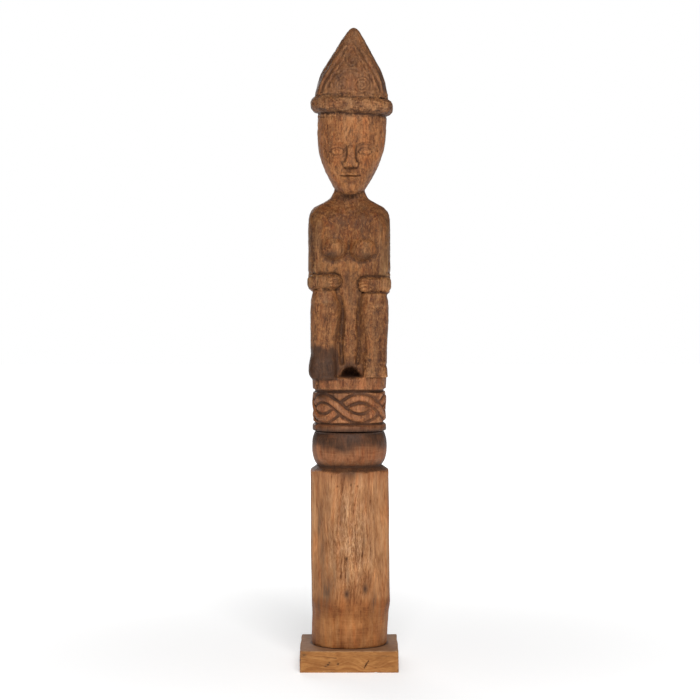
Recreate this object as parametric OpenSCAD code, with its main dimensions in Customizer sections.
// Carved ancestor figure: a seated figure on a knotwork capital and an eight-sided post, cut from one
// log, standing on a separate plinth block that is held on by a dowel and four coach screws.
// The figure looks along -Y. The origin is the middle of the plinth's underside.

/* [Plinth] */
// Width of the plinth block
base_w = 152; // [146:1:170]
// Depth of the plinth block, front to back
base_d = 150; // [140:1:160]
// Height of the plinth block
base_h = 34; // [30:1:45]
// Worn chamfer round the plinth's upper edge
base_chamfer = 2; // [1:0.5:4]

/* [Post] */
// Width of the eight-sided shaft across its flats
shaft_w = 123; // [118:1:128]
// Height of the round foot below the shaft
foot_h = 34; // [20:1:45]
// Diameter of the round foot
foot_d = 120; // [112:1:122]
// Height of the shaft's upper end above the ground
shaft_top = 313; // [280:1:320]

/* [Capital] */
// Height of the plain bulb above the shaft
bulb_h = 57; // [40:1:60]
// Diameter of the bulb at its middle
bulb_d = 117.5; // [114:0.5:122]
// Height of the knotwork drum with its fillet
band_h = 67; // [60:1:80]
// Diameter of the fillet and of the collar
collar_d = 115; // [112:1:118]
// Height of the collar that the figure sits on
collar_h = 19; // [12:1:24]
// Width of a knotwork strand
strand_w = 11; // [8:0.5:13]

/* [Figure] */
// Height of the whole carving above the ground
total_h = 1000; // [980:1:1040]
// Width across the upper arms
arms_w = 129; // [126:1:134]
// Width across the forehead
head_w = 107; // [102:1:112]
// Width across the rolled brim of the hat
brim_w = 128; // [122:1:134]
// Height of the rolled brim
brim_h = 33; // [28:1:38]
// Height of the pointed crown above the brim
crown_h = 107; // [90:1:120]

/* [Fixings] */
// Diameter of the dowel between the post and the plinth
dowel_d = 25; // [16:1:30]
// Length of the dowel
dowel_l = 70; // [50:1:90]
// Spacing of the four coach screws, each way
screw_pitch = 62; // [58:1:68]
// Thread diameter of a coach screw
screw_d = 6; // [5:0.5:8]
// Length of a coach screw below its head
screw_l = 70; // [55:1:90]

/* [Hidden] */
$fn = 64;

dowel_in_base = 22;
counterbore_d = 22;
counterbore_h = 9;
washer_d = 18;
washer_h = 1.6;
head_af = 10;
head_h = 4;
thread_pitch = 2.6;
thread_depth = 0.8;
hole_gap = 0.25;
screw_places = [for (y = [-1, 1], x = [-1, 1]) [x, y] * screw_pitch / 2];

// Heights of the carved zones, from the ground up.
band_low = shaft_top + bulb_h;
band_top = band_low + band_h;
collar_top = band_top + collar_h;
brim_top = total_h - crown_h;
brim_low = brim_top - brim_h;
chin_z = brim_low - 113;
shoulder_z = chin_z - 46;
knee_z = collar_top + 133;
forearm_z = knee_z + 11;
bust_z = knee_z + 68;

// Depth of the front of the shins, chest and face, measured forward of the axis.
shin_y = 58;
chest_y = 47;
face_y = 49;

// Half-width of the body at height z, from the soles to the neck.
function body_x(z) = lookup(z, [
    [collar_top, arms_w / 2 - 4], [collar_top + 9, arms_w / 2 - 1.5],
    [collar_top + 21, arms_w / 2 - 1.5], [collar_top + 40, arms_w / 2 - 4.5],
    [collar_top + 101, arms_w / 2 - 3], [knee_z - 3, arms_w / 2 - 4], [knee_z + 2, arms_w / 2],
    [shoulder_z, arms_w / 2], [shoulder_z + 12, arms_w / 2 - 2.5],
    [shoulder_z + 21, arms_w / 2 - 9], [shoulder_z + 29, arms_w / 2 - 22],
    [shoulder_z + 36, 31], [chin_z, 27]]);

// Front and back of the body at height z.
function body_front(z) = lookup(z, [
    [collar_top, shin_y + 1], [collar_top + 16, shin_y + 3], [collar_top + 32, shin_y - 3],
    [knee_z - 30, shin_y - 1], [knee_z - 8, shin_y + 3], [knee_z, shin_y - 3],
    [knee_z + 6, chest_y], [bust_z, chest_y], [shoulder_z, chest_y - 2],
    [shoulder_z + 24, chest_y - 11], [chin_z, 24]]);
function body_back(z) = lookup(z, [
    [collar_top, 56], [collar_top + 34, 61], [collar_top + 80, 56], [knee_z + 10, 46],
    [shoulder_z - 40, 53], [shoulder_z, 50], [shoulder_z + 26, 36], [chin_z, 29]]);

// Half-width and half-depth of the head, from the chin to the brim.
function head_swell(z) = pow(sin(90 * pow(min(1, (z - chin_z + 5) / 84), 0.75)), 0.8);
function head_x(z) = head_w / 2 * head_swell(z);
function head_front(z) = lookup(z, [[chin_z, 34], [chin_z + 12, 43], [chin_z + 60, face_y],
    [brim_low, face_y + 2]]);
function head_back(z) = lookup(z, [[chin_z, 30], [chin_z + 40, 42], [brim_low, 49]]);

// How far the brim's rounded edge draws in above and below its middle.
function brim_roll(z) = 9 * pow(abs(z - (brim_low + brim_top) / 2) / (brim_h / 2), 3);

// Half-width of the pointed crown above the brim.
function crown_x(z) = lookup((z - brim_top) / crown_h,
    [[0, 57], [0.26, 51], [0.6, 26.5], [0.93, 6], [0.985, 2.5], [1, 0]]);

// Radius of a rounded square section in direction a, where a = 0 looks forward.
function section(a, half_x, half_y, n) =
    pow(pow(abs(sin(a)) / half_x, n) + pow(abs(cos(a)) / half_y, n), -1 / n);

function figure_r(a, z) = let (front = abs(a) < 90)
    z < chin_z ? section(a, body_x(z), front ? body_front(z) : body_back(z),
        z > shoulder_z ? 2.8 : 4.2) :
    z < brim_low ? section(a, head_x(z), front ? head_front(z) : head_back(z), 2.7) :
    z < brim_top ? section(a, brim_w / 2 - brim_roll(z), brim_w / 2 - 3 - brim_roll(z), 4) :
    section(a, crown_x(z), crown_x(z) * 0.94, 2.6);

// Directions and heights at which the figure's surface is taken.
figure_a = [for (a = [-180:10:170]) a];
figure_z = concat(
    [for (i = [0:14]) collar_top + (knee_z - collar_top) * i / 14], [knee_z + 2, knee_z + 6],
    [for (i = [1:11]) knee_z + 6 + (shoulder_z - knee_z - 6) * i / 11],
    [for (i = [1:7]) shoulder_z + (chin_z - 0.2 - shoulder_z) * i / 7],
    [for (i = [0:14]) chin_z + (brim_low - 0.1 - chin_z) * i / 14],
    [for (i = [0:6]) brim_low + (brim_h - 0.1) * i / 6],
    [for (i = [0:9]) brim_top + crown_h * (i < 9 ? i / 9.5 : 0.985)]);

// Closed skin through rings of points, one ring per height, capped by a point at each end.
module skin(rings, low, high) {
    rows = len(rings);
    columns = len(rings[0]);
    function at(row, column) = row * columns + column % columns;
    sides = [for (row = [0:rows - 2], c = [0:columns - 1])
        each [[at(row, c), at(row + 1, c), at(row + 1, c + 1)],
              [at(row, c), at(row + 1, c + 1), at(row, c + 1)]]];
    ends = [for (c = [0:columns - 1])
        each [[rows * columns, at(0, c), at(0, c + 1)],
              [rows * columns + 1, at(rows - 1, c + 1), at(rows - 1, c)]]];
    polyhedron(concat([for (ring = rings) each ring], [low, high]), concat(sides, ends));
}

module figure_blank() {
    skin([for (z = figure_z) [for (a = figure_a)
        let (r = figure_r(a, z)) [r * sin(a), -r * cos(a), z]]],
        [0, 0, collar_top], [0, 0, total_h]);
}

// Forearm laid level across the body, with the hand at its inner end.
module forearm(side) {
    hull() {
        translate([side * 53, -chest_y + 2, forearm_z]) sphere(10.5, $fn = 20);
        translate([side * 24, -chest_y - 2, forearm_z]) sphere(10.5, $fn = 20);
        translate([side * 20, -chest_y - 6, forearm_z - 1]) sphere(7, $fn = 20);
    }
}

module bust() {
    for (x = [-23, 23]) translate([x, -chest_y + 6, bust_z]) rotate([8, 0, 0])
        scale([19, 17, 30]) sphere(1, $fn = 22);
}

// Straight nose that grows out of two brow arcs, ring eyes and a level mouth.
module face() {
    nose_low = chin_z + 37;
    brow_z = chin_z + 70;
    hull() {
        translate([-6, -face_y - 5, nose_low]) cube([12, 12, 1]);
        translate([-4, -face_y + 1, brow_z]) cube([8, 8, 1]);
    }
    for (side = [-1, 1]) {
        translate([side * 21, -face_y + 2.5, brow_z - 13]) rotate([90, 0, 0])
            rotate([0, 0, side > 0 ? 20 : 0]) rotate_extrude(angle = 160, $fn = 36)
            translate([16, 0]) circle(3, $fn = 8);
        translate([side * 21, -face_y + 2.5, brow_z - 13]) rotate([90, 0, 0])
            rotate_extrude($fn = 20) translate([4.5, 0]) circle(1.6, $fn = 8);
    }
}

module face_cuts() {
    translate([-9, -face_y - 8, chin_z + 20]) cube([18, 12, 2]);
}

// Space between the shins, with a hanging strip left in its middle and a pocket at the soles.
module between_shins() {
    difference() {
        translate([-17, -80, collar_top]) cube([34, 80 - shin_y + 17, knee_z - collar_top + 2]);
        translate([-9.5, -shin_y + 10, collar_top + 22]) cube([19, 40, knee_z]);
    }
    translate([-15, -80, collar_top]) cube([30, 80 - 36, 22]);
}

module arm_grooves() {
    for (side = [-1, 1]) translate([side * 42, -chest_y - 1, forearm_z + 12]) rotate([0, 0, 45])
        translate([-3.5, -3.5, 0]) cube([7, 7, 48]);
}

module figure() {
    difference() {
        union() {
            figure_blank();
            forearm(-1);
            forearm(1);
            bust();
            face();
        }
        between_shins();
        arm_grooves();
        face_cuts();
    }
}

// Eight-sided section: a squared timber with its corners cut off.
module shaft_section() {
    half = shaft_w / 2;
    cut = 37;
    polygon([for (q = [0:3], s = [-1, 1]) let (c = cos(90 * q), n = sin(90 * q), y = s * (half - cut))
        [half * c - y * n, half * n + y * c]]);
}

// Shaft, chamfered at the top and cut down to a round foot at the bottom.
module shaft() {
    foot_top = base_h + foot_h;
    intersection() {
        translate([0, 0, base_h]) linear_extrude(shaft_top - base_h) shaft_section();
        rotate_extrude() polygon([[0, base_h], [foot_d / 2, base_h], [foot_d / 2, foot_top],
            [shaft_w * 0.56, foot_top + 24], [shaft_w * 0.56, shaft_top - 9], [54, shaft_top],
            [0, shaft_top]]);
    }
}

// Bulb, fillet, knotwork drum and collar, as one turned profile.
module capital() {
    neck = collar_d / 2 - 4;
    drum = collar_d / 2 - 2.5;
    bulb_curve = [for (i = [0:8]) let (t = i / 8)
        [neck + (bulb_d / 2 - neck) * sin(180 * t), shaft_top + bulb_h * t]];
    rotate_extrude($fn = 40) polygon(concat([[0, shaft_top - 1], [neck, shaft_top - 1]], bulb_curve,
        [[collar_d / 2, band_low + 2], [collar_d / 2, band_low + 11], [drum, band_low + 14],
         [drum, band_top - 3], [neck, band_top - 1], [neck, band_top], [collar_d / 2, band_top + 1],
         [collar_d / 2, collar_top], [40, collar_top], [40, collar_top + 2], [0, collar_top + 2]]));
    strand(1);
    strand(-1);
}

// One of the two strands that cross six times on their way round the drum.
module strand(side) {
    drum = collar_d / 2 - 2.5;
    middle = (band_low + 14 + band_top - 3) / 2;
    swing = (band_top - band_low - 17) / 2 - strand_w / 2;
    profile = [[-5, -1], [0, -1], [2.3, -0.45], [2.3, 0.45], [0, 1], [-5, 1]];
    steps = 60;
    rings = [for (i = [0:steps - 1]) let (a = 360 * i / steps,
            slope = side * swing * 3 * cos(3 * a) / drum,
            half = strand_w / 2 * sqrt(1 + slope * slope))
        [for (p = profile) [(drum + p[0]) * cos(a), (drum + p[0]) * sin(a),
            middle + side * swing * sin(3 * a) + half * p[1]]]];
    count = len(profile);
    polyhedron([for (ring = rings) each ring], [for (i = [0:steps - 1], c = [0:count - 1])
        let (j = (i + 1) % steps, d = (c + 1) % count)
        each [[i * count + c, i * count + d, j * count + d],
              [i * count + c, j * count + d, j * count + c]]]);
}

// The whole carving is cut from the log to one exact height, then drilled from below.
module carved_trunk() {
    color("saddlebrown") difference() {
        resize([0, 0, total_h - base_h]) union() {
            shaft();
            capital();
            figure();
        }
        translate([0, 0, base_h - 1]) cylinder(d = dowel_d, h = dowel_l - dowel_in_base + 2);
        for (p = screw_places) translate(p)
            cylinder(d = screw_d, h = counterbore_h - washer_h + screw_l);
    }
}

module chamfered_side(half) {
    c = base_chamfer;
    polygon([[-half, 0], [half, 0], [half, base_h - c], [half - c, base_h], [c - half, base_h],
        [-half, base_h - c]]);
}

module plinth_block() {
    color("peru") difference() {
        intersection() {
            translate([0, base_d / 2, 0]) rotate([90, 0, 0]) linear_extrude(base_d)
                chamfered_side(base_w / 2);
            translate([-base_w / 2, 0, 0]) rotate([90, 0, 90]) linear_extrude(base_w)
                chamfered_side(base_d / 2);
        }
        translate([0, 0, base_h - dowel_in_base]) cylinder(d = dowel_d, h = dowel_in_base + 1);
        for (p = screw_places) translate(p) {
            translate([0, 0, -1]) cylinder(d = counterbore_d, h = counterbore_h + 1);
            cylinder(d = screw_d + 2 * hole_gap, h = base_h + 1);
        }
    }
}

module centre_dowel() {
    low = base_h - dowel_in_base;
    r = dowel_d / 2;
    color("burlywood") rotate_extrude() polygon([[0, low], [r - 1.5, low], [r, low + 1.5],
        [r, low + dowel_l - 1.5], [r - 1.5, low + dowel_l], [0, low + dowel_l]]);
}

// Smooth shank through the plinth, then a ringed thread with a point, in the post.
module screw_shank() {
    low = counterbore_h - washer_h;
    r = screw_d / 2;
    root = r - thread_depth;
    top = low + screw_l;
    turns = floor((top - base_h - 6) / thread_pitch);
    thread = [for (i = [0:turns - 1]) let (z = base_h + 1 + i * thread_pitch)
        each [[root, z], [r, z + thread_pitch / 2], [root, z + thread_pitch * 0.7]]];
    rotate_extrude() polygon(concat([[0, low], [r, low], [r, base_h]], thread,
        [[root, top - 4], [0, top]]));
}

module coach_screw(i) {
    color("silver") translate(screw_places[i]) {
        screw_shank();
        translate([0, 0, counterbore_h - washer_h - head_h])
            cylinder(d = head_af / cos(30), h = head_h, $fn = 6);
    }
}

module screw_washer(i) {
    color("gainsboro") translate(screw_places[i]) translate([0, 0, counterbore_h - washer_h])
        difference() {
            cylinder(d = washer_d, h = washer_h);
            translate([0, 0, -1]) cylinder(d = screw_d, h = washer_h + 2);
        }
}

carved_trunk();
plinth_block();
centre_dowel();
coach_screw(0);  // coach_screw_1
coach_screw(1);  // coach_screw_2
coach_screw(2);  // coach_screw_3
coach_screw(3);  // coach_screw_4
screw_washer(0);  // screw_washer_1
screw_washer(1);  // screw_washer_2
screw_washer(2);  // screw_washer_3
screw_washer(3);  // screw_washer_4
